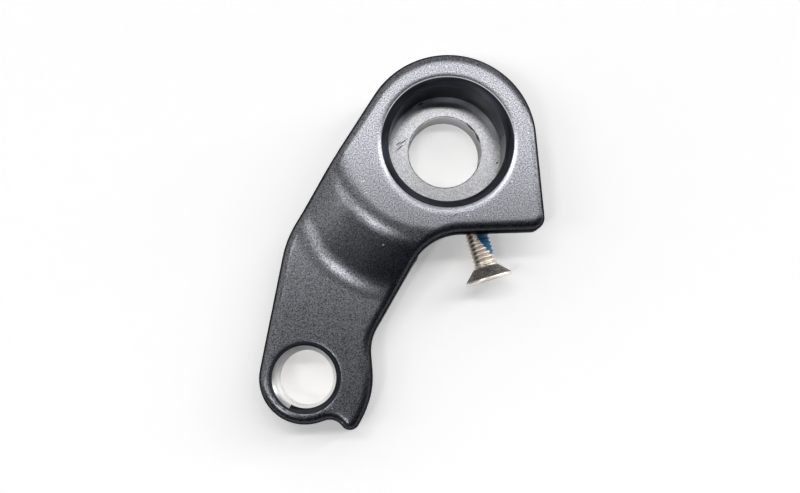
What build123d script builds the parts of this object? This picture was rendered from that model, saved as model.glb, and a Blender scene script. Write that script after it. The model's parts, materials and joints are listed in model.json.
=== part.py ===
from build123d import *
from math import hypot
import os

# Sizes in mm. The axle axis is Z, the frame side of the hanger is at Z = 0 and the wheel side is up.

# Heights
ring_height = 12.0            # wheel-side face of the round end
plate_height = 7.75           # wheel-side face of the lower plate
flange_thickness = 4.0        # round end outside the spigot

# Round end
ring_radius = 14.25
ring_shift = 0.3              # its outer arc is a little off the axle axis
ring_rise = 0.6
left_edge_angle = 58.0        # direction of the long left edge
right_edge_angle = 94.8       # direction of the short right edge
lower_edge_angle = 1.9        # direction of the lower edge
lower_edge_offset = 0.3       # its distance from the axle axis is this much past the ring's radius
outer_corner_radius = 2.1
inner_corner_radius = 9.2     # hollow between the lower edge and the neck

# Axle bore and hub seat
axle_bore_diameter = 12.1
seat_diameter = 19.0
seat_depth = 7.5
seat_chamfer_width = 1.5
seat_chamfer_depth = 0.6
seat_rim_round = 2.5

# Lower plate with the derailleur hole
hole_x = -22.8
hole_y = -37.6
boss_radius = 7.5
shank_edge_angle = 79.5       # direction of the left edge beside the boss
knee_radius = 16.4            # bend in the left edge
neck_edge_angle = 60.3        # direction of the right edge of the neck
neck_edge_distance = 5.95     # that edge from the derailleur hole
thread_diameter = 10.0        # derailleur thread, M10 x 1
thread_chamfer = 0.6
thread_rim_round = 0.4

# Stop tab
tab_back_radius = 13.8        # outer arc of the tab
tab_back_offset = 3.0         # centre of that arc, left of the derailleur hole
tab_back_start = -28.0        # the arc runs between these angles
tab_back_end = 5.0
tab_tip_radius = 1.6
stop_face_angle = -48.0       # direction of the stop face
stop_face_offset = 0.75       # that face from the derailleur hole
notch_radius = 2.4
notch_angle = -72.0           # the notch leaves the boss here
waist_radius = 7.5            # hollow between the tab and the neck

# Ramp between the round end and the lower plate
ramp_heading = 232.0          # direction in which the ramp goes down
ramp_spread = 1.95            # arc of the ramp, past the ring's radius, seen along the axle
ramp_crest_offset = 2.9       # top of the ramp, past the ring's radius from the axle axis
ramp_shift = -1.86            # that point to the side of the axle axis, seen along the heading
ramp_run = 9.8
ramp_crest_round = 8.0
ramp_foot_round = 9.0

# Frame side
flange_width = 1.08           # flange past the round spigot, at its narrowest
shoulder_setback = 0.25       # straight step below the dropout, back from the top of the ramp

# Edges
front_round = 1.4
back_chamfer = 0.5
cut_size = 120.0              # larger than the hanger

# Fixing screw, M4 countersunk with a hexagon socket
screw_diameter = 4.0
screw_length = 12.0
screw_height = 5.2            # screw axis above the frame side
screw_lean = 16.0             # screw axis from straight down
screw_offset = 1.0            # screw axis from the axle axis
screw_engagement = 1.7        # length of the screw in the spigot
screw_tip_chamfer = 0.5
screw_head_diameter = 8.0
screw_head_height = 2.3
screw_head_rim = 0.3          # straight rim of the head
socket_across_flats = 2.5
socket_depth = 1.5
screw_hole_clearance = 0.05   # round the screw
screw_hole_spare = 0.5        # hole past the tip

os.makedirs("parts", exist_ok=True)


def arcs_of_radius(builder, radius):
    """Arcs of this radius among the edges of the part, lowest first."""
    arcs = builder.edges().filter_by(GeomType.CIRCLE)
    return arcs.filter_by(lambda edge: abs(edge.radius - radius) < 0.001).sort_by(Axis.Z)


# Straight edges of the outline that are set by a direction and a distance
hole_centre = Vector(hole_x, hole_y)
lower_edge = Axis(
    Vector(0, -ring_radius - lower_edge_offset).rotate(Axis.Z, lower_edge_angle),
    Vector(1, 0).rotate(Axis.Z, lower_edge_angle),
)
neck_edge = Axis(
    hole_centre + Vector(0, -neck_edge_distance).rotate(Axis.Z, neck_edge_angle),
    Vector(1, 0).rotate(Axis.Z, neck_edge_angle),
)
stop_face = Axis(
    hole_centre + Vector(0, -stop_face_offset).rotate(Axis.Z, stop_face_angle),
    Vector(1, 0).rotate(Axis.Z, stop_face_angle),
)

# Screw axis, from beside the axle axis out under the lower edge
screw_axis = Axis(
    Vector(screw_offset, 0, screw_height).rotate(Axis.Z, screw_lean),
    Vector(0, -1, 0).rotate(Axis.Z, screw_lean),
)
screw_across = Vector(1, 0, 0).rotate(Axis.Z, screw_lean)
spigot_radius = ring_radius - hypot(ring_shift, ring_rise) - flange_width
screw_tip = spigot_radius - screw_engagement
screw_face = screw_tip + screw_length

# hanger: one machined piece
with BuildPart() as hanger:
    with BuildSketch():
        with BuildLine():
            ring = CenterArc(
                (ring_shift, ring_rise),
                ring_radius,
                right_edge_angle - 90,
                left_edge_angle + 180 - right_edge_angle,
            )
            boss = CenterArc(
                hole_centre,
                boss_radius,
                shank_edge_angle + 90,
                notch_angle + 270 - shank_edge_angle,
            )
            tab_back = CenterArc(
                hole_centre - Vector(tab_back_offset, 0),
                tab_back_radius,
                tab_back_start,
                tab_back_end - tab_back_start,
            )
            knee = Axis(ring @ 1, ring % 1).intersect(Axis(boss @ 0, boss % 0))
            FilletPolyline(ring @ 1, knee, boss @ 0, radius=knee_radius)
            notch = Axis(boss @ 1, boss % 1).intersect(stop_face)
            tip = Axis(tab_back @ 0, tab_back % 0).intersect(stop_face)
            FilletPolyline(boss @ 1, notch, tip, tab_back @ 0, radius=(notch_radius, tab_tip_radius))
            waist = Axis(tab_back @ 1, tab_back % 1).intersect(neck_edge)
            inner_corner = neck_edge.intersect(lower_edge)
            outer_corner = lower_edge.intersect(Axis(ring @ 0, ring % 0))
            FilletPolyline(
                tab_back @ 1,
                waist,
                inner_corner,
                outer_corner,
                ring @ 0,
                radius=(waist_radius, inner_corner_radius, outer_corner_radius),
            )
        make_face()
    extrude(amount=ring_height)

    # ramp: the space over the lower plate, swept down along the heading
    ramp_radius = ring_radius + ramp_spread
    ramp_crest = ring_radius + ramp_crest_offset
    ramp_drop = ring_height - plate_height
    ramp_path = Vector(ramp_run, 0, -ramp_drop).rotate(Axis.Z, ramp_heading)
    with BuildSketch(Plane.XY.offset(ring_height)):
        with Locations(Location((0, 0), ramp_heading)):
            with Locations((ramp_crest - ramp_radius / 2, ramp_shift)):
                Rectangle(cut_size, cut_size, align=(Align.MIN, Align.CENTER))
            with Locations((ramp_crest - ramp_radius, ramp_shift)):
                Circle(ramp_radius, mode=Mode.SUBTRACT)
    extrude(amount=hypot(ramp_run, ramp_drop), dir=ramp_path, mode=Mode.SUBTRACT)

    # rounded crest and foot of the ramp
    crest = arcs_of_radius(hanger, ramp_radius)[-1]
    fillet(crest, radius=ramp_crest_round)
    foot = arcs_of_radius(hanger, ramp_radius)[0]
    fillet(foot, radius=ramp_foot_round)

    # rounded front edge and chamfered back edge, each one smooth chain round the whole outline
    front_edge = arcs_of_radius(hanger, ring_radius)[-1]
    fillet(front_edge, radius=front_round)
    back_edge = arcs_of_radius(hanger, ring_radius)[0]
    chamfer(back_edge, length=back_chamfer)

    # space for the dropout behind the round end, with the spigot left standing
    with BuildSketch():
        with Locations(Location((0, 0), ramp_heading)):
            with Locations((ramp_crest - shoulder_setback, 0)):
                Rectangle(cut_size, cut_size, align=(Align.MAX, Align.CENTER))
        Circle(spigot_radius, mode=Mode.SUBTRACT)
    extrude(amount=ring_height - flange_thickness, mode=Mode.SUBTRACT)
    spigot_edge = arcs_of_radius(hanger, spigot_radius)[0]
    chamfer(spigot_edge, length=back_chamfer)

    # hub seat and axle bore
    seat_floor = ring_height - seat_depth
    seat_radius = seat_diameter / 2
    axle_bore_radius = axle_bore_diameter / 2
    with BuildSketch(Plane.XZ):
        with BuildLine():
            Polyline(
                (0, 0),
                (axle_bore_radius, 0),
                (axle_bore_radius, seat_floor),
                (seat_radius, seat_floor),
                (seat_radius, ring_height - seat_chamfer_depth),
                (seat_radius + seat_chamfer_width, ring_height),
                (0, ring_height),
                close=True,
            )
        make_face()
    revolve(axis=Axis.Z, mode=Mode.SUBTRACT)
    seat_rim = arcs_of_radius(hanger, seat_radius + seat_chamfer_width)[-1]
    fillet(seat_rim, radius=seat_rim_round)

    # derailleur hole, chamfered on both sides
    thread_radius = thread_diameter / 2
    thread_mouth_radius = thread_radius + thread_chamfer
    with BuildSketch(Plane(hole_centre, Plane.XZ.x_dir, Plane.XZ.z_dir)):
        with BuildLine():
            Polyline(
                (0, 0),
                (thread_mouth_radius, 0),
                (thread_radius, thread_chamfer),
                (thread_radius, plate_height - thread_chamfer),
                (thread_mouth_radius, plate_height),
                (0, plate_height),
                close=True,
            )
        make_face()
    revolve(axis=Axis(hole_centre, (0, 0, 1)), mode=Mode.SUBTRACT)
    thread_rim = arcs_of_radius(hanger, thread_mouth_radius)[-1]
    fillet(thread_rim, radius=thread_rim_round)

    # blind hole for the fixing screw
    screw_hole_bottom = screw_axis.position + screw_axis.direction * (screw_tip - screw_hole_spare)
    with BuildSketch(Plane(screw_hole_bottom, screw_across, screw_axis.direction)):
        Circle(screw_diameter / 2 + screw_hole_clearance)
    extrude(amount=screw_length, mode=Mode.SUBTRACT)

# fixing_screw: turned profile with a hexagon socket
with BuildPart() as fixing_screw:
    with BuildSketch(Plane(screw_axis.position, screw_axis.direction, (0, 0, 1))):
        with BuildLine():
            Polyline(
                (screw_tip, 0),
                (screw_tip, screw_diameter / 2 - screw_tip_chamfer),
                (screw_tip + screw_tip_chamfer, screw_diameter / 2),
                (screw_face - screw_head_height, screw_diameter / 2),
                (screw_face - screw_head_rim, screw_head_diameter / 2),
                (screw_face, screw_head_diameter / 2),
                (screw_face, 0),
                close=True,
            )
        make_face()
    revolve(axis=screw_axis)
    screw_face_centre = screw_axis.position + screw_axis.direction * screw_face
    with BuildSketch(Plane(screw_face_centre, screw_across, screw_axis.direction)):
        RegularPolygon(socket_across_flats / 2, side_count=6, major_radius=False)
    extrude(amount=-socket_depth, mode=Mode.SUBTRACT)

hanger.part.label = "hanger"
fixing_screw.part.label = "fixing_screw"
export_step(hanger.part, "parts/hanger.step")
export_step(fixing_screw.part, "parts/fixing_screw.step")
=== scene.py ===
import json
from math import atan2, cos, floor, pi, radians, sin, tau

import bmesh
import bpy
from bpy.props import FloatProperty, FloatVectorProperty, PointerProperty
from mathutils import Matrix, Vector


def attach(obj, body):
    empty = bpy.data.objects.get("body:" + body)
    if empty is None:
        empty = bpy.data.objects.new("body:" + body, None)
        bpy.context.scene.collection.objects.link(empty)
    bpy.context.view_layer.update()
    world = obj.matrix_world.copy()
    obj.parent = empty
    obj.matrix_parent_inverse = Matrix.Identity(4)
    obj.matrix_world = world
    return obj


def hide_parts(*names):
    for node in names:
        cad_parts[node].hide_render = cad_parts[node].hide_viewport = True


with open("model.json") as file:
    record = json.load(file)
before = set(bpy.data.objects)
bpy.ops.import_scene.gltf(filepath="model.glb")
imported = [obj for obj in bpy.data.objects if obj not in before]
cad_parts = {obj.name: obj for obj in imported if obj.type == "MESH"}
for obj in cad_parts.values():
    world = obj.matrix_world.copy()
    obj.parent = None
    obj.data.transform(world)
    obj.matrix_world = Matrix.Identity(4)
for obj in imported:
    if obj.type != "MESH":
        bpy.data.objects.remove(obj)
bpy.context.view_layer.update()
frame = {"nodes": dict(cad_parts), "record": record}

bl_info = {
    "name": "Derailleur Hanger",
    "version": (1, 0, 0),
    "blender": (4, 5, 0),
    "location": "View3D > Sidebar > Hanger",
    "description": "Finishes a black anodised derailleur hanger, with its thread and its fixing screw",
    "category": "Object",
}

MM = 0.001
SEGMENTS = 96  # points round a thread
WELD_DISTANCE = 0.0001 * MM  # points closer than this become one
SHARP_ANGLE = radians(28)  # an edge that bends more than this stays sharp
WAVE_PERIOD = tau / 20  # from ring to ring of a wave texture with a scale of 1

# Places on the hanger, in mm, as in the solids
MOUNTS = {mount["name"]: mount for mount in frame["record"]["mounts"]}
AXLE_RADIUS = MOUNTS["axle_bore"]["dims"]["r_mm"]
SEAT_RADIUS = MOUNTS["hub_seat"]["dims"]["r_mm"]
SEAT_FLOOR = 4.5
RING_TOP = 12.0
RIM_CENTRE = (0.08, 0.1, 0)  # the black band round the seat is a little off the axle's axis
RIM_RADIUS = 10.75  # outer edge of that band
HOLE_X, HOLE_Y = (place / MM for place in MOUNTS["derailleur_thread"]["pos_m"][:2])
HOLE_CENTRE = (HOLE_X, HOLE_Y, 0)
HOLE_RADIUS = MOUNTS["derailleur_thread"]["dims"]["r_mm"]
HOLE_CHAMFER = 0.6
PLATE_TOP = 7.75

# Fixing screw, in mm, as in the solids, with distances along its axis from beside the axle
SCREW_LEAN = radians(16)
SCREW_OFFSET = 1.0
SCREW_HEIGHT = 5.2
SCREW_ORIGIN = Vector((SCREW_OFFSET * cos(SCREW_LEAN), SCREW_OFFSET * sin(SCREW_LEAN), SCREW_HEIGHT))
SCREW_ALONG = Vector((sin(SCREW_LEAN), -cos(SCREW_LEAN), 0))
SCREW_RADIUS = 2.0
SCREW_TIP = 10.8
SCREW_NECK = 20.5  # the thread ends here and the cone of the head starts
SCREW_CONE_END = 22.5
SCREW_FACE = 22.8

# Marks of use on the hanger, in mm: place, direction in degrees, half length, half width
DARK_MARKS = (
    (-7.55, 0.75, SEAT_FLOOR, 42, 0.8, 0.1),  # scratches on the seat's floor
    (-7.0, 1.75, SEAT_FLOOR, 38, 0.85, 0.09),
    (-7.75, 1.5, SEAT_FLOOR, 38, 0.55, 0.09),
    (8.8, -1.8, SEAT_FLOOR, 80, 0.2, 0.16),
    (5.6, 2.55, SEAT_FLOOR, 114, 0.95, 0.2),  # burr on the edge of the axle bore
    (4.4, 4.3, SEAT_FLOOR, 134, 0.95, 0.17),
    (-4.0, 8.3, SEAT_FLOOR, 28, 0.5, 0.16),
    (12.5, 6.3, RING_TOP, 120, 0.45, 0.16),  # chip on the outer edge
    (1.1, -11.9, RING_TOP, 35, 0.55, 0.07),
)
PALE_MARKS = (
    (-10.3, -16.5, 10.6, 20, 0.22, 0.16),  # nicks near the top of the ramp
    (-8.6, -16.9, 10.4, 70, 0.2, 0.14),
    (-16.8, -44.8, PLATE_TOP, 70, 0.5, 0.06),  # scratch and nick beside the stop tab
    (-16.2, -45.6, PLATE_TOP, 0, 0.16, 0.14),
)

# Colours of wear, of painted reflection, glint and shade, of the oxide at a grazing angle and of the room
# pale grey of a painted reflection on the seat's floor
FLOOR_REFLECTION_PAINT = "#b9bdc6"
# pale line of a bare cut edge, painted brighter as a glint
BARE_EDGE_AND_GLINT = "#e0e2e6"
PALE_SPECK = "#c4c4c6"
# darker colour of painted shade in the roots of the screw's thread
ROOT_SHADE = "#a89e92"
DULL_STEEL = "#a09a94"
GRAZED_OXIDE = "#45454b"
ROOM_WALLS = "#9aabd4"

# Lamps: name, direction on the floor and tilt from straight up in degrees, width and length in m, radiance
SOFTBOXES = (
    ("key_softbox", 91, 16.8, 0.88, 0.09, 14.5),
    ("right_softbox", 30.5, 47, 0.12, 0.64, 8.0),
    ("side_softbox", 20, 74, 0.1, 0.72, 8.0),
    ("left_spot", 219, 24, 0.06, 0.18, 34),
    ("left_softbox", 193, 38, 0.19, 0.28, 4.4),
    ("left_fill", 161, 72, 1.2, 1.2, 0.75),
    ("back_fill", 90, 60, 1.4, 1.2, 0.6),
)
LAMP_TARGET = Vector((-7, -15, 6)) * MM  # middle of the hanger, 1 m from every lamp
FLOOR_HALF = 30.0  # m, so that the paper runs to the horizon

# Camera of the photograph: its place, the directions of the picture's right and top, lens and sensor in mm
CAMERA_PLACE = Vector((-9.98, -34.78, 162)) * MM
CAMERA_RIGHT = Vector((0.99988, 0.0, 0.01563))
CAMERA_UP = Vector((-0.00185, 0.99298, 0.11825))
CAMERA_LENS = 42.885
CAMERA_SENSOR = 36
CAMERA_CLIP = 0.01  # m, nearer than any view of the part


def linear(hex_colour):
    """Turns an sRGB hex colour into linear red, green and blue."""
    channels = [int(hex_colour[i : i + 2], 16) / 255 for i in (1, 3, 5)]
    return [c / 12.92 if c <= 0.04045 else ((c + 0.055) / 1.055) ** 2.4 for c in channels]


# Sizes and colours


class HangerFinish(bpy.types.PropertyGroup):
    """Colours of the hanger and the size of its blasted grain."""

    anodise: FloatVectorProperty(
        name="Anodised",
        description="Black dyed oxide on the blasted faces",
        subtype="COLOR",
        size=3,
        min=0,
        max=1,
        default=linear("#6c6d71"),
    )
    seat: FloatVectorProperty(
        name="Seat floor",
        description="Turned floor of the hub seat",
        subtype="COLOR",
        size=3,
        min=0,
        max=1,
        default=linear("#838385"),
    )
    turned: FloatVectorProperty(
        name="Turned oxide",
        description="Smooth black oxide on the turned walls and chamfers",
        subtype="COLOR",
        size=3,
        min=0,
        max=1,
        default=linear("#2c2d33"),
    )
    bare: FloatVectorProperty(
        name="Bare metal",
        description="Aluminium where it was cut after anodising",
        subtype="COLOR",
        size=3,
        min=0,
        max=1,
        default=linear("#f5f4f2"),
    )
    grain: FloatProperty(
        name="Grain",
        description="Width of the dents that blasting left",
        unit="LENGTH",
        min=0.05 * MM,
        default=0.2 * MM,
    )


class DerailleurThread(bpy.types.PropertyGroup):
    """M10 x 1 thread in the lower hole."""

    pitch: FloatProperty(
        name="Pitch",
        description="Distance from turn to turn",
        unit="LENGTH",
        min=0.2 * MM,
        default=1.0 * MM,
    )
    depth: FloatProperty(
        name="Depth",
        description="Height of the thread over the wall of the hole",
        unit="LENGTH",
        min=0,
        default=0.5 * MM,
    )
    start: FloatProperty(
        name="Start",
        description="Direction in which the first turn starts",
        unit="ROTATION",
        default=radians(243),
    )


class FixingScrew(bpy.types.PropertyGroup):
    """M4 countersunk screw with a locking patch."""

    pitch: FloatProperty(
        name="Pitch",
        description="Distance from turn to turn",
        unit="LENGTH",
        min=0.2 * MM,
        default=0.7 * MM,
    )
    depth: FloatProperty(
        name="Depth",
        description="Depth of the thread",
        unit="LENGTH",
        min=0,
        default=0.43 * MM,
    )
    steel: FloatVectorProperty(
        name="Steel",
        description="Stainless steel of the screw",
        subtype="COLOR",
        size=3,
        min=0,
        max=1,
        default=linear("#f8f1e6"),
    )
    patch: FloatVectorProperty(
        name="Locking patch",
        description="Nylon on one side of the thread",
        subtype="COLOR",
        size=3,
        min=0,
        max=1,
        default=linear("#0678a8"),
    )


class StudioStage(bpy.types.PropertyGroup):
    """Floor and light."""

    paper: FloatVectorProperty(
        name="Paper",
        description="White paper under the part",
        subtype="COLOR",
        size=3,
        min=0,
        max=1,
        default=linear("#f1f0ef"),
    )
    brightness: FloatProperty(
        name="Brightness",
        description="Share of the lamps' full power",
        subtype="FACTOR",
        min=0,
        max=2,
        default=1,
    )


# Meshes


def thread_rings(pitch, crest, root, low, high, trim):
    """Rings of (angle, distance, radius) along a right-hand thread, and how many make one turn.

    The rings follow the helix from low to high, so a ring ends where the ring one turn further on starts.
    trim gives the radius at an angle and a distance, such as at a chamfered end.
    """
    # half a flat crest, a flank, a flat root, a flank and the rest of the crest, in shares of the pitch
    form = [(0.0, crest), (0.07, crest), (0.37, root), (0.5, root), (0.63, root), (0.93, crest)]
    turns = range(floor(low / pitch) - 2, floor(high / pitch) + 3)
    rings = []
    for turn in turns:
        for share, radius in form:
            ring = []
            for k in range(SEGMENTS):
                angle = tau * k / SEGMENTS
                distance = min(max(pitch * (turn + share + k / SEGMENTS), low), high)
                ring.append((angle, distance, trim(angle, distance, radius)))
            rings.append(ring)
    return rings, len(form)


def ring_faces(first, rings, shift=0):
    """Faces between rings, with the last point of a ring joined to the ring shift further on."""
    faces = []
    for i in range(rings - 1 - shift):
        for k in range(SEGMENTS):
            a = first + i * SEGMENTS + k
            b = a + 1 if k + 1 < SEGMENTS else first + (i + shift) * SEGMENTS
            faces.append((a, b, b + SEGMENTS, a + SEGMENTS))
    return faces


def turned_mesh(name, to_frame, thread, turn, *profiles):
    """Closed mesh of a thread, with turn rings in each turn, and the turned rings at its ends."""
    points = [point for ring in thread for point in ring]
    faces = ring_faces(0, len(thread), turn)
    for profile in profiles:
        faces += ring_faces(len(points), len(profile))
        points += [point for ring in profile for point in ring]
    mesh = bpy.data.meshes.new(name)
    mesh.from_pydata([to_frame(*point) for point in points], [], faces)
    joined = bmesh.new()
    joined.from_mesh(mesh)
    bmesh.ops.remove_doubles(joined, verts=joined.verts, dist=WELD_DISTANCE)
    bmesh.ops.dissolve_degenerate(joined, edges=joined.edges, dist=WELD_DISTANCE)
    bmesh.ops.recalc_face_normals(joined, faces=joined.faces)
    joined.to_mesh(mesh)
    joined.free()
    mesh.polygons.foreach_set("use_smooth", [True] * len(mesh.polygons))
    mesh.set_sharp_from_angle(angle=SHARP_ANGLE)
    return mesh


def add_piece(name, mesh, slot, *materials):
    """Links a new piece to the scene, with its materials, and parents it to the empty of the root body."""
    for material in materials:
        mesh.materials.append(material)
    piece = bpy.data.objects.new(name, mesh)
    bpy.context.scene.collection.objects.link(piece)
    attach(piece, "root")
    return piece


# Materials


def add_node(tree, kind, inputs=None, output=0, **settings):
    """Adds a node with its settings, gives each input a value or a link, and returns one output."""
    node = tree.nodes.new(kind)
    for name, value in settings.items():
        setattr(node, name, value)
    for socket, value in (inputs or {}).items():
        if isinstance(value, bpy.types.NodeSocket):
            tree.links.new(value, node.inputs[socket])
        else:
            node.inputs[socket].default_value = value
    return node.outputs[output] if node.outputs else None


def new_material(name):
    """An empty node material, with its tree and the place of a point in mm."""
    material = bpy.data.materials.new(name)
    material.use_nodes = True
    tree = material.node_tree
    tree.nodes.clear()
    place = add_node(tree, "ShaderNodeTexCoord", output="Object")
    mm = add_node(tree, "ShaderNodeVectorMath", {0: place, "Scale": 1 / MM}, operation="SCALE")
    return material, tree, mm


def over_tap_line(tree, mm, start):
    """Height of a point over the rising line at which the tap cut through the black oxide."""
    lowest, rise = 6.85, 0.75
    offset = add_node(tree, "ShaderNodeVectorMath", {0: mm, 1: HOLE_CENTRE}, operation="SUBTRACT")
    x, y, z = (add_node(tree, "ShaderNodeSeparateXYZ", {0: offset}, axis) for axis in "XYZ")
    angle = add_node(tree, "ShaderNodeMath", {0: y, 1: x}, operation="ARCTAN2")
    turns = add_node(
        tree,
        "ShaderNodeMath",
        {0: angle, 1: 1 / tau, 2: -start / tau},
        operation="MULTIPLY_ADD",
    )
    share = add_node(tree, "ShaderNodeMath", {0: turns}, operation="FRACT")
    line = add_node(tree, "ShaderNodeMath", {0: share, 1: rise, 2: lowest}, operation="MULTIPLY_ADD")
    return add_node(tree, "ShaderNodeMath", {0: z, 1: line}, operation="SUBTRACT")


def marks_of_use(tree, mm, grain, marks):
    """Where one of these marks is, from 0 to 1, with edges that the grain makes ragged."""
    depth = 0.5  # mm above and below the face that a mark is on
    whole, gone = 0.6, 1.2  # a mark fades between these shares of its half length and half width
    raggedness = 1.2
    middle = raggedness / 2
    marked = 0.0
    for x, y, z, turn, length, width in marks:
        across = add_node(
            tree,
            "ShaderNodeMapping",
            {
                "Vector": mm,
                "Location": (x, y, z),
                "Rotation": (0, 0, radians(turn)),
                "Scale": (length, width, depth),
            },
            vector_type="TEXTURE",
        )
        reach = add_node(tree, "ShaderNodeVectorMath", {0: across}, "Value", operation="LENGTH")
        ragged = add_node(
            tree,
            "ShaderNodeMath",
            {0: grain, 1: raggedness, 2: reach},
            operation="MULTIPLY_ADD",
        )
        mark = add_node(
            tree,
            "ShaderNodeMapRange",
            {"Value": ragged, "From Min": middle + gone, "From Max": middle + whole},
        )
        marked = add_node(tree, "ShaderNodeMath", {0: marked, 1: mark}, operation="MAXIMUM")
    return marked


def finish_masks(tree, mm, flat, grain, thread):
    """Where each finish of the hanger is, from 0 to 1, by the name of the finish."""
    height = add_node(tree, "ShaderNodeSeparateXYZ", {0: mm}, "Z")
    upwards = add_node(tree, "ShaderNodeSeparateXYZ", {0: mm}, "Y")
    facing = add_node(tree, "ShaderNodeTexCoord", output="Normal")
    facing_up = add_node(tree, "ShaderNodeSeparateXYZ", {0: facing}, "Z")
    level = add_node(tree, "ShaderNodeMath", {0: facing_up}, operation="ABSOLUTE")
    from_axle, from_rim, from_hole = (
        add_node(tree, "ShaderNodeVectorMath", {0: flat, 1: centre}, "Value", operation="DISTANCE")
        for centre in ((0, 0, 0), RIM_CENTRE, HOLE_CENTRE)
    )
    over_line = over_tap_line(tree, mm, thread.start)
    # specks of about 0.1 mm in radius, in some of the cells of this width in mm
    cell = 0.9
    from_speck = add_node(tree, "ShaderNodeTexVoronoi", {"Vector": mm, "Scale": 1 / cell}, "Distance")
    chance = add_node(tree, "ShaderNodeTexVoronoi", {"Vector": mm, "Scale": 1 / cell}, "Color")

    # each mask goes from 0 to 1 as its value goes from low to high
    masks = {}
    for name, value, low, high in (
        # upright faces, which are painted darker as shade
        ("upright_shade", level, 0.88, 0.62),  # faces that stand up
        ("in_front", height, SEAT_FLOOR - 0.3, SEAT_FLOOR - 0.1),  # the wheel side
        ("in_rim", from_rim, RIM_RADIUS + 0.1, RIM_RADIUS - 0.02),
        ("in_seat", from_axle, SEAT_RADIUS + 0.06, SEAT_RADIUS),
        ("on_floor", height, SEAT_FLOOR + 0.2, SEAT_FLOOR + 0.05),
        ("near_bore", from_axle, AXLE_RADIUS + 0.2, AXLE_RADIUS + 0.1),
        ("in_bore", from_axle, AXLE_RADIUS + 0.02, AXLE_RADIUS),
        ("past_black", from_rim, RIM_RADIUS - 0.06, RIM_RADIUS),
        ("before_grain", from_rim, RIM_RADIUS + 0.12, RIM_RADIUS + 0.08),
        ("near_rim", from_rim, RIM_RADIUS + 0.7, RIM_RADIUS + 0.3),
        ("near_wall", from_axle, SEAT_RADIUS - 1.2, SEAT_RADIUS - 0.5),
        ("upper_half", upwards, 1, 6),  # away from the ramp
        ("lower_half", upwards, 6, -6),  # towards the ramp
        ("in_mouth", from_hole, HOLE_RADIUS + 0.85, HOLE_RADIUS + 0.76),
        ("tapped", over_line, 0.03, -0.03),
        ("near_speck", from_speck, 0.12, 0.07),  # in widths of a cell
        ("has_speck", chance, 0.62, 0.67),  # about a third of the cells
    ):
        masks[name] = add_node(
            tree,
            "ShaderNodeMapRange",
            {"Value": value, "From Min": low, "From Max": high},
            interpolation_type="SMOOTHSTEP",
        )

    # finishes that are where all of their masks are
    for name, parts in (
        ("chamfer", ("in_front", "in_rim")),
        ("wall", ("in_front", "in_seat")),
        ("seat_floor", ("wall", "on_floor")),
        # a crescent of the seat's floor beside the far wall, on the upper half only, painted as a reflection
        ("painted_floor_reflection", ("seat_floor", "near_wall", "upper_half")),
        ("bore_edge", ("in_front", "near_bore")),
        # a painted highlight on the lower half of the seat's rim, beside the black band
        ("painted_rim_highlight", ("in_front", "past_black", "near_rim", "lower_half")),
        # a thin pale line on the upper half of the rim: the bare cut edge, with a painted glint
        ("bare_rim_and_glint", ("in_front", "past_black", "before_grain", "upper_half")),
        ("tapped_mouth", ("in_mouth", "tapped")),
        ("pale_speck", ("near_speck", "has_speck")),
    ):
        share = 1.0
        for part in parts:
            share = add_node(tree, "ShaderNodeMath", {0: share, 1: masks[part]}, operation="MULTIPLY")
        masks[name] = share
    masks["dark_mark"] = marks_of_use(tree, mm, grain, DARK_MARKS)
    masks["pale_mark"] = marks_of_use(tree, mm, grain, PALE_MARKS)
    return masks


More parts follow.
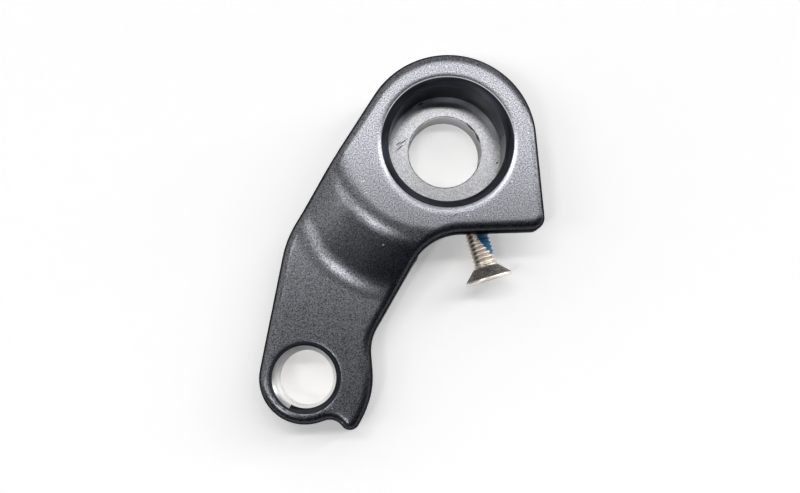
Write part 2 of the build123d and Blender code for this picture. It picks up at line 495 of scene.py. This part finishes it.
def blasted_anodised_aluminium(finish, thread):
    """Aluminium, bead blasted and anodised black, with its seats turned and its hole tapped.

    Blasting gives a bright grain under a broad sheen, and the dyed oxide a cold grey that stays
    dark at a grazing angle. The turned walls are smooth and black, and the cut edges are bare.
    Upright faces carry painted shade, and the seat's rim and floor a painted highlight, glint and reflection.
    """
    material, tree, mm = new_material("blasted_anodised_aluminium")
    flat = add_node(tree, "ShaderNodeVectorMath", {0: mm, 1: (1, 1, 0)}, operation="MULTIPLY")

    # sizes of the patterns, in mm
    patch_width = 1.6
    ring_spacing = 0.25
    line_spacing, line_length = 0.3, 6.7
    dent_depth = 0.006
    worn_edge = 1.0

    # blasted grain, drawn a little coarser than the real dents so that it shows
    grain = add_node(
        tree,
        "ShaderNodeTexNoise",
        {"Vector": mm, "Scale": MM / finish.grain, "Detail": 2, "Roughness": 0.6},
    )
    # uneven sheen
    mottle = add_node(tree, "ShaderNodeTexNoise", {"Vector": mm, "Scale": 1 / patch_width, "Detail": 2})
    # rings that the tool left on the turned faces, and lines on their walls
    rings = add_node(
        tree,
        "ShaderNodeTexWave",
        {
            "Vector": flat,
            "Scale": WAVE_PERIOD / ring_spacing,
            "Distortion": 2,
            "Detail": 2,
            "Detail Scale": 0.4,
        },
        wave_type="RINGS",
        rings_direction="Z",
    )
    stretch = (1 / line_length, 1 / line_length, 1 / line_spacing)
    stretched = add_node(tree, "ShaderNodeVectorMath", {0: mm, 1: stretch}, operation="MULTIPLY")
    lines = add_node(tree, "ShaderNodeTexNoise", {"Vector": stretched, "Scale": 1, "Detail": 2})
    masks = finish_masks(tree, mm, flat, grain, thread)

    # grain and lines as darker and lighter metal: pattern, colour, and its lowest and highest brightness
    shades = {}
    for name, pattern, colour, low, high in (
        ("blasted", grain, finish.anodise, 0.35, 1.7),
        # darker oxide for the painted shade on upright faces
        ("side", grain, finish.anodise, 0.15, 0.5),
        # brighter oxide for the painted highlight on the rim
        ("rim", grain, finish.anodise, 1.8, 3.4),
        ("seat", grain, finish.seat, 0.7, 1.3),
        ("turned", lines, finish.turned, 0.5, 1.5),
        ("wall", lines, finish.turned, 1.3, 3),
        # pale grey for the painted reflection on the seat's floor
        ("painted_reflection", lines, linear(FLOOR_REFLECTION_PAINT), 0.4, 1.1),
    ):
        shade = add_node(
            tree,
            "ShaderNodeMapRange",
            {"Value": pattern, "From Min": 0.35, "From Max": 0.65, "To Min": low, "To Max": high},
        )
        shades[name] = add_node(tree, "ShaderNodeVectorMath", {0: colour, "Scale": shade}, operation="SCALE")

    # each finish covers the ones before it: mask, colour, roughness, and how far it is metal and not oxide
    bare = (*finish.bare, 1)
    speck = (*linear(PALE_SPECK), 1)
    bare_edge_and_glint = (*linear(BARE_EDGE_AND_GLINT), 1)
    turned = shades["turned"]
    colour = shades["blasted"]
    rough = add_node(tree, "ShaderNodeMapRange", {"Value": mottle, "To Min": 0.275, "To Max": 0.285})
    metal = 1.0
    for name, finish_colour, finish_rough, finish_metal in (
        ("pale_speck", speck, 0.4, 1),
        # painted shade: upright faces darker than the oxide on top
        ("upright_shade", shades["side"], 0.3, 1),
        ("chamfer", turned, 0.3, 0.3),
        ("wall", shades["wall"], 0.3, 0.3),
        ("seat_floor", shades["seat"], 0.28, 0.8),
        # painted reflection: a pale, dull crescent on the floor beside the far wall
        ("painted_floor_reflection", shades["painted_reflection"], 0.4, 0),
        ("bore_edge", turned, 0.4, 0.3),
        ("in_bore", bare, 0.35, 1),
        # painted highlight on the lower half of the rim
        ("painted_rim_highlight", shades["rim"], 0.28, 1),
        # bare cut edge with a painted glint: a dull pale line on the upper half of the rim
        ("bare_rim_and_glint", bare_edge_and_glint, 0.4, 0),
        ("in_mouth", turned, 0.35, 0.3),
        ("tapped_mouth", bare, 0.35, 1),
        ("dark_mark", turned, 0.5, 0.3),
        ("pale_mark", bare, 0.4, 1),
    ):
        mask = masks[name]
        colour = add_node(tree, "ShaderNodeMix", {0: mask, 6: colour, 7: finish_colour}, 2, data_type="RGBA")
        rough = add_node(tree, "ShaderNodeMix", {0: mask, 2: rough, 3: finish_rough}, data_type="FLOAT")
        metal = add_node(tree, "ShaderNodeMix", {0: mask, 2: metal, 3: finish_metal}, data_type="FLOAT")

    # dents where the surface is still blasted, with its edges worn softer, and rings where it was turned
    cut = add_node(tree, "ShaderNodeMath", {0: masks["chamfer"], 1: masks["in_mouth"]}, operation="MAXIMUM")
    low_rings = add_node(tree, "ShaderNodeMapRange", {"Value": rings, "To Min": 0.3, "To Max": 0.7})
    dents = add_node(tree, "ShaderNodeMix", {0: cut, 2: grain, 3: low_rings}, data_type="FLOAT")
    sharp = add_node(tree, "ShaderNodeNewGeometry", output="Normal")
    soft = add_node(tree, "ShaderNodeBevel", {"Radius": worn_edge * MM}, samples=8)
    edge = add_node(tree, "ShaderNodeMix", {0: cut, 4: soft, 5: sharp}, 1, data_type="VECTOR")
    relief = add_node(
        tree,
        "ShaderNodeBump",
        {"Height": dents, "Strength": 1, "Distance": dent_depth * MM, "Normal": edge},
    )
    surface = add_node(
        tree,
        "ShaderNodeBsdfPrincipled",
        {
            "Base Color": colour,
            "Metallic": metal,
            "Roughness": rough,
            "Specular Tint": (*linear(GRAZED_OXIDE), 1),
            "Normal": relief,
        },
    )
    add_node(tree, "ShaderNodeOutputMaterial", {"Surface": surface})
    return material


def tapped_aluminium(finish, thread):
    """Aluminium cut by a tap.

    It is bright bare metal with fine lines along the turns, and black where the oxide is left.
    """
    material, tree, mm = new_material("tapped_aluminium")
    # lines of the tap's teeth, in mm up the hole and round it
    line_spacing, line_length = 0.15, 2
    stretch = (1 / line_length, 1 / line_length, 1 / line_spacing)
    stretched = add_node(tree, "ShaderNodeVectorMath", {0: mm, 1: stretch}, operation="MULTIPLY")
    lines = add_node(tree, "ShaderNodeTexNoise", {"Vector": stretched, "Scale": 1, "Detail": 3})
    oxide = add_node(
        tree,
        "ShaderNodeMapRange",
        {"Value": over_tap_line(tree, mm, thread.start), "From Min": -0.03, "From Max": 0.03},
    )
    shade = add_node(tree, "ShaderNodeMapRange", {"Value": lines, "To Min": 0.9, "To Max": 1.1})
    bare = add_node(tree, "ShaderNodeVectorMath", {0: finish.bare, "Scale": shade}, operation="SCALE")
    black = (*finish.turned, 1)
    colour = add_node(tree, "ShaderNodeMix", {0: oxide, 6: bare, 7: black}, 2, data_type="RGBA")
    rough = add_node(tree, "ShaderNodeMapRange", {"Value": lines, "To Min": 0.5, "To Max": 0.65})
    surface = add_node(
        tree,
        "ShaderNodeBsdfPrincipled",
        {"Base Color": colour, "Metallic": 1, "Roughness": rough},
    )
    add_node(tree, "ShaderNodeOutputMaterial", {"Surface": surface})
    return material


def rolled_stainless_steel(screw):
    """Stainless steel, with its thread rolled and its head turned.

    It is warm bright metal, with painted shade darkening the roots of the thread, and a dull, patchy cone.
    """
    material, tree, mm = new_material("rolled_stainless_steel")
    offset = add_node(tree, "ShaderNodeVectorMath", {0: mm, 1: SCREW_ORIGIN}, operation="SUBTRACT")
    aside = add_node(tree, "ShaderNodeVectorMath", {0: offset, 1: SCREW_ALONG}, operation="CROSS_PRODUCT")
    from_axis = add_node(tree, "ShaderNodeVectorMath", {0: aside}, "Value", operation="LENGTH")
    along = add_node(
        tree,
        "ShaderNodeVectorMath",
        {0: offset, 1: SCREW_ALONG},
        "Value",
        operation="DOT_PRODUCT",
    )

    # each mask goes from 0 to 1 as its value goes from low to high
    masks = {}
    for name, value, low, high in (
        # the roots of the thread, darkened there as painted shade
        ("in_roots", from_axis, SCREW_RADIUS - 0.3, SCREW_RADIUS - 0.42),
        ("past_neck", along, SCREW_NECK + 0.1, SCREW_NECK + 0.25),
        ("before_rim", along, SCREW_CONE_END - 0.05, SCREW_CONE_END - 0.15),
    ):
        masks[name] = add_node(
            tree,
            "ShaderNodeMapRange",
            {"Value": value, "From Min": low, "From Max": high},
        )
    in_roots = masks["in_roots"]
    on_cone = add_node(
        tree,
        "ShaderNodeMath",
        {0: masks["past_neck"], 1: masks["before_rim"]},
        operation="MULTIPLY",
    )

    # handling marks, of this width in mm
    streak_width = 0.4
    streak = add_node(tree, "ShaderNodeTexNoise", {"Vector": mm, "Scale": 1 / streak_width, "Detail": 4})
    shade = add_node(
        tree,
        "ShaderNodeMapRange",
        {"Value": streak, "From Min": 0.3, "From Max": 0.7, "To Min": 0.85},
    )
    clean = add_node(tree, "ShaderNodeVectorMath", {0: screw.steel, "Scale": shade}, operation="SCALE")
    patchy = add_node(
        tree,
        "ShaderNodeMapRange",
        {"Value": streak, "From Min": 0.35, "From Max": 0.65, "To Min": 0.45, "To Max": 1.2},
    )
    dull = add_node(tree, "ShaderNodeVectorMath", {0: linear(DULL_STEEL), "Scale": patchy}, operation="SCALE")
    # painted shade in the roots of the thread
    root_shade = (*linear(ROOT_SHADE), 1)
    colour = add_node(tree, "ShaderNodeMix", {0: in_roots, 6: clean, 7: root_shade}, 2, data_type="RGBA")
    colour = add_node(tree, "ShaderNodeMix", {0: on_cone, 6: colour, 7: dull}, 2, data_type="RGBA")
    rough = add_node(tree, "ShaderNodeMapRange", {"Value": streak, "To Min": 0.28, "To Max": 0.34})
    rough = add_node(tree, "ShaderNodeMix", {0: on_cone, 2: rough, 3: 0.6}, data_type="FLOAT")
    surface = add_node(
        tree,
        "ShaderNodeBsdfPrincipled",
        {"Base Color": colour, "Metallic": 1, "Roughness": rough},
    )
    add_node(tree, "ShaderNodeOutputMaterial", {"Surface": surface})
    return material


def fused_nylon(screw):
    """Nylon melted on to the thread: strong blue, half dull, thinner and darker in places."""
    material, tree, mm = new_material("fused_nylon")
    # lumps of the melted powder, in mm
    lump_width, lump_height = 0.25, 0.05
    lumps = add_node(tree, "ShaderNodeTexNoise", {"Vector": mm, "Scale": 1 / lump_width, "Detail": 3})
    shade = add_node(
        tree,
        "ShaderNodeMapRange",
        {"Value": lumps, "From Min": 0.3, "From Max": 0.7, "To Min": 0.5, "To Max": 1.2},
    )
    colour = add_node(tree, "ShaderNodeVectorMath", {0: screw.patch, "Scale": shade}, operation="SCALE")
    relief = add_node(
        tree,
        "ShaderNodeBump",
        {"Height": lumps, "Strength": 0.6, "Distance": lump_height * MM},
    )
    surface = add_node(
        tree,
        "ShaderNodeBsdfPrincipled",
        {"Base Color": colour, "Roughness": 0.4, "IOR": 1.53, "Normal": relief},
    )
    add_node(tree, "ShaderNodeOutputMaterial", {"Surface": surface})
    return material


def seen_directly(tree):
    """1 for rays that show the background or its reflection, and 0 for those that only light the part."""
    seen = 0.0
    for kind in ("Is Camera Ray", "Is Glossy Ray", "Is Transmission Ray"):
        ray = add_node(tree, "ShaderNodeLightPath", output=kind)
        seen = add_node(tree, "ShaderNodeMath", {0: seen, 1: ray}, operation="MAXIMUM")
    return seen


def white_paper(stage):
    """Uncoated paper: matt white, which the camera sees a little brighter so that it reads as white."""
    material, tree, mm = new_material("white_paper")
    # clumps of fibre, of this width in mm
    clump_width = 2
    fibre = add_node(tree, "ShaderNodeTexNoise", {"Vector": mm, "Scale": 1 / clump_width, "Detail": 4})
    shade = add_node(tree, "ShaderNodeMapRange", {"Value": fibre, "To Min": 0.98, "To Max": 1.02})
    colour = add_node(tree, "ShaderNodeVectorMath", {0: stage.paper, "Scale": shade}, operation="SCALE")
    paper = add_node(tree, "ShaderNodeBsdfDiffuse", {"Color": colour, "Roughness": 0.9})
    # the glow that the camera sees, near the part and further off in mm, where the lamps don't reach
    near, far = 400, 2500
    near_glow, far_glow = 0.3, 0.95
    away = add_node(tree, "ShaderNodeVectorMath", {0: mm}, "Value", operation="LENGTH")
    lift = add_node(
        tree,
        "ShaderNodeMapRange",
        {"Value": away, "From Min": near, "From Max": far, "To Min": near_glow, "To Max": far_glow},
    )
    strength = add_node(tree, "ShaderNodeMath", {0: seen_directly(tree), 1: lift}, operation="MULTIPLY")
    glow = add_node(tree, "ShaderNodeEmission", {"Color": (1, 1, 1, 1), "Strength": strength})
    both = add_node(tree, "ShaderNodeAddShader", {0: paper, 1: glow})
    add_node(tree, "ShaderNodeOutputMaterial", {"Surface": both})
    return material


def studio_room(stage):
    """A dim room with cold walls, pale along the horizon like the paper that runs up to it."""
    world = bpy.data.worlds.new("studio_room")
    world.use_nodes = True
    tree = world.node_tree
    tree.nodes.clear()
    room_light = 0.06
    pale_rise, wall_rise = 0.02, 0.12  # heights over the horizon, as sines
    direction = add_node(tree, "ShaderNodeTexCoord", output="Generated")
    rise = add_node(tree, "ShaderNodeSeparateXYZ", {0: direction}, "Z")
    low = add_node(tree, "ShaderNodeMapRange", {"Value": rise, "From Min": wall_rise, "From Max": pale_rise})
    pale = add_node(tree, "ShaderNodeMath", {0: low, 1: seen_directly(tree)}, operation="MULTIPLY")
    walls = (*Vector(linear(ROOM_WALLS)) * room_light * stage.brightness, 1)
    paper = (*stage.paper, 1)
    colour = add_node(tree, "ShaderNodeMix", {0: pale, 6: walls, 7: paper}, 2, data_type="RGBA")
    background = add_node(tree, "ShaderNodeBackground", {"Color": colour, "Strength": 1})
    add_node(tree, "ShaderNodeOutputWorld", {"Surface": background})
    return world


# Stage


def add_floor(scene):
    """Lays the paper under the part."""
    half = FLOOR_HALF
    mesh = bpy.data.meshes.new("paper_floor")
    corners = [(-half, -half, 0), (half, -half, 0), (half, half, 0), (-half, half, 0)]
    mesh.from_pydata(corners, [], [(0, 1, 2, 3)])
    mesh.materials.append(white_paper(scene.studio_stage))
    floor_sheet = bpy.data.objects.new("paper_floor", mesh)
    scene.collection.objects.link(floor_sheet)


def add_softboxes(scene):
    """Hangs the lamps round the part and turns them to it."""
    for name, azimuth, tilt, width, length, radiance in SOFTBOXES:
        lamp = bpy.data.lights.new(name, "AREA")
        lamp.shape = "RECTANGLE"
        lamp.size, lamp.size_y = width, length
        lamp.energy = scene.studio_stage.brightness * radiance * pi * width * length
        turn, lean = radians(azimuth), radians(tilt)
        away = Vector((sin(lean) * cos(turn), sin(lean) * sin(turn), cos(lean)))
        stand = bpy.data.objects.new(name, lamp)
        stand.location = LAMP_TARGET + away
        stand.rotation_euler = away.to_track_quat("Z", "Y").to_euler()
        scene.collection.objects.link(stand)


def add_camera(scene):
    """Sets up the camera as the photograph was taken."""
    camera = bpy.data.cameras.new("camera")
    camera.lens = CAMERA_LENS
    camera.sensor_width = CAMERA_SENSOR
    camera.clip_start = CAMERA_CLIP
    stand = bpy.data.objects.new("camera", camera)
    turn = Matrix((CAMERA_RIGHT, CAMERA_UP, CAMERA_RIGHT.cross(CAMERA_UP))).transposed()
    stand.matrix_world = Matrix.Translation(CAMERA_PLACE) @ turn.to_4x4()
    scene.collection.objects.link(stand)
    return stand


# Pieces


class HANGER_OT_finish(bpy.types.Operator):
    """Give the hanger its blasted and anodised finish"""

    bl_idname = "hanger.finish"
    bl_label = "Hanger finish"

    def execute(self, context):
        scene = context.scene
        hanger = frame["nodes"]["hanger"]
        hanger.data.materials.clear()
        hanger.data.materials.append(blasted_anodised_aluminium(scene.hanger_finish, scene.derailleur_thread))
        return {"FINISHED"}


class HANGER_OT_derailleur_thread(bpy.types.Operator):
    """Cut the M10 thread in the derailleur hole"""

    bl_idname = "hanger.derailleur_thread"
    bl_label = "Derailleur thread"

    def execute(self, context):
        size = context.scene.derailleur_thread
        overlap = 0.05  # mm of the thread that is sunk in the wall of the hole
        back = HOLE_RADIUS + overlap
        crest = HOLE_RADIUS - size.depth / MM
        low, high = HOLE_CHAMFER, PLATE_TOP - HOLE_CHAMFER

        def trim(angle, distance, radius):
            return max(radius, HOLE_RADIUS + distance - high, HOLE_RADIUS + low - distance)

        def to_frame(angle, distance, radius):
            turned = angle + size.start
            return Vector((HOLE_X + radius * cos(turned), HOLE_Y + radius * sin(turned), distance)) * MM

        thread, turn = thread_rings(size.pitch / MM, crest, HOLE_RADIUS, low, high, trim)
        angles = [tau * k / SEGMENTS for k in range(SEGMENTS)]
        profile = [(low, HOLE_RADIUS), (low, back), (high, back), (high, HOLE_RADIUS)]
        wall = [[(angle, *point) for angle in angles] for point in profile]
        mesh = turned_mesh("derailleur_thread", to_frame, thread, turn, wall)
        metal = tapped_aluminium(context.scene.hanger_finish, size)
        add_piece("derailleur_thread", mesh, "anodised_aluminium", metal)
        return {"FINISHED"}


class HANGER_OT_fixing_screw(bpy.types.Operator):
    """Build the countersunk fixing screw with its thread, socket and locking patch"""

    bl_idname = "hanger.fixing_screw"
    bl_label = "Fixing screw"

    def execute(self, context):
        size = context.scene.fixing_screw
        crest = SCREW_RADIUS
        root = crest - size.depth / MM
        run_out = 0.7  # mm over which the thread fades before the head
        tip_radius, head_radius, head_bevel = 1.5, 4.0, 0.08
        flats, mouth_flats = 2.5, 2.8
        mouth_depth, socket_depth, drill_depth = 0.15, 1.5, 1.7
        patch_start, patch_end = 11.2, 18.8
        patch_angle, patch_half = radians(20), radians(90)
        patch_fill = 0.22  # mm from the crests down to the nylon between them
        up = Vector((0, 0, 1))
        across = up.cross(SCREW_ALONG)

        def on_patch(angle, distance):
            reach = (distance - patch_start) / (patch_end - patch_start)
            aside = (angle - patch_angle + pi) % tau - pi
            return 0 < reach < 1 and abs(aside) < patch_half * (1 - reach * reach) ** 0.5

        def trim(angle, distance, radius):
            faded = root + (crest - root) * min(max((distance - SCREW_NECK) / run_out + 1, 0), 1)
            filled = crest - patch_fill if on_patch(angle, distance) else root
            return min(max(radius, faded, filled), tip_radius + distance - SCREW_TIP)

        def to_frame(angle, distance, radius):
            out = across * cos(angle) + up * sin(angle)
            return (SCREW_ORIGIN + SCREW_ALONG * distance + out * radius) * MM

        def hexagon(angle, width):
            return width / 2 / cos((angle + pi / 6) % (pi / 3) - pi / 6)

        thread, turn = thread_rings(size.pitch / MM, crest, root, SCREW_TIP, SCREW_NECK, trim)
        angles = [tau * k / SEGMENTS for k in range(SEGMENTS)]
        end = [[(angle, SCREW_TIP, radius) for angle in angles] for radius in (0, tip_radius)]
        cone = [
            (SCREW_NECK, crest),
            (SCREW_CONE_END, head_radius),
            (SCREW_FACE - head_bevel, head_radius),
            (SCREW_FACE, head_radius - head_bevel),
        ]
        head = [[(angle, *point) for angle in angles] for point in cone]
        socket = [(0, mouth_flats), (mouth_depth, flats), (socket_depth, flats), (drill_depth, 0)]
        for depth, width in socket:
            head.append([(angle, SCREW_FACE - depth, hexagon(angle, width)) for angle in angles])
        mesh = turned_mesh("fixing_screw_detailed", to_frame, thread, turn, end, head)
        screw = add_piece(
            "fixing_screw_detailed", mesh, "stainless_steel", rolled_stainless_steel(size), fused_nylon(size)
        )
        for polygon in mesh.polygons:
            offset = polygon.center / MM - SCREW_ORIGIN
            angle = atan2(offset.dot(up), offset.dot(across))
            polygon.material_index = int(on_patch(angle, offset.dot(SCREW_ALONG)))
        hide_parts("fixing_screw")
        return {"FINISHED"}


class HANGER_OT_stage(bpy.types.Operator):
    """Set the paper floor, the softboxes and the camera"""

    bl_idname = "hanger.stage"
    bl_label = "Stage"

    def execute(self, context):
        add_floor(context.scene)
        add_softboxes(context.scene)
        context.scene.world = studio_room(context.scene.studio_stage)
        context.scene.camera = add_camera(context.scene)
        context.scene.view_settings.view_transform = "Standard"
        return {"FINISHED"}


class HANGER_PT_panel(bpy.types.Panel):
    """Lists the pieces of the hanger and their sizes"""

    bl_idname = "HANGER_PT_panel"
    bl_label = "Derailleur hanger"
    bl_space_type = "VIEW_3D"
    bl_region_type = "UI"
    bl_category = "Hanger"

    def draw(self, context):
        for settings, operator in SECTIONS:
            box = self.layout.box()
            group = getattr(context.scene, settings)
            for name in group.__annotations__:
                box.prop(group, name)
            box.operator(operator)


SECTIONS = (
    ("hanger_finish", "hanger.finish"),
    ("derailleur_thread", "hanger.derailleur_thread"),
    ("fixing_screw", "hanger.fixing_screw"),
    ("studio_stage", "hanger.stage"),
)
CLASSES = (
    HangerFinish,
    DerailleurThread,
    FixingScrew,
    StudioStage,
    HANGER_OT_finish,
    HANGER_OT_derailleur_thread,
    HANGER_OT_fixing_screw,
    HANGER_OT_stage,
    HANGER_PT_panel,
)


def register():
    for cls in CLASSES:
        bpy.utils.register_class(cls)
    bpy.types.Scene.hanger_finish = PointerProperty(type=HangerFinish)
    bpy.types.Scene.derailleur_thread = PointerProperty(type=DerailleurThread)
    bpy.types.Scene.fixing_screw = PointerProperty(type=FixingScrew)
    bpy.types.Scene.studio_stage = PointerProperty(type=StudioStage)


def unregister():
    del bpy.types.Scene.studio_stage
    del bpy.types.Scene.fixing_screw
    del bpy.types.Scene.derailleur_thread
    del bpy.types.Scene.hanger_finish
    for cls in reversed(CLASSES):
        bpy.utils.unregister_class(cls)


def main():
    register()
    bpy.ops.hanger.finish()
    bpy.ops.hanger.derailleur_thread()
    bpy.ops.hanger.fixing_screw()
    bpy.ops.hanger.stage()


if __name__ == "__main__":
    main()
